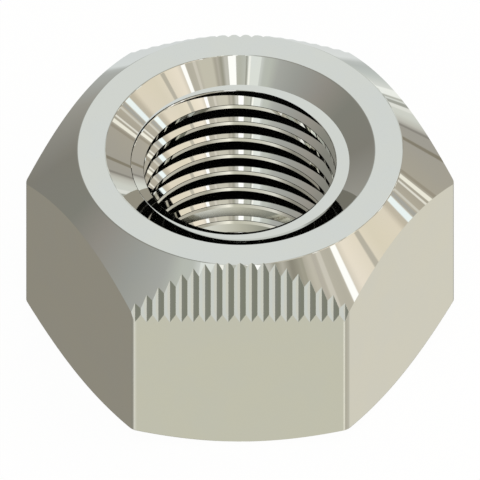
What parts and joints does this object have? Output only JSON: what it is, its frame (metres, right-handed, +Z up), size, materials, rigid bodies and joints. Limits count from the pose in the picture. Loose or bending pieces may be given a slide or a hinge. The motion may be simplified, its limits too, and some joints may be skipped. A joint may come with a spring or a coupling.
{
  "type": "lock nut",
  "caption": "All-metal hexagon lock nut with a coned top, a countersunk threaded bore and serrated squeeze marks down two opposite flats.",
  "frame": {"origin": "middle of the bearing face, on the bore's axis", "axes": "+Z up the bore towards the coned, serrated end; the serrated flats face -Y and +Y; a corner of the hexagon lies on each side of X"},
  "size_m": [0.0276, 0.024, 0.0148],
  "materials": {
    "plated_steel": "bright zinc plating, smooth as turned"
  },
  "bodies": {
    "root": {"lock_nut": "plated_steel"}
  },
  "joints": []
}
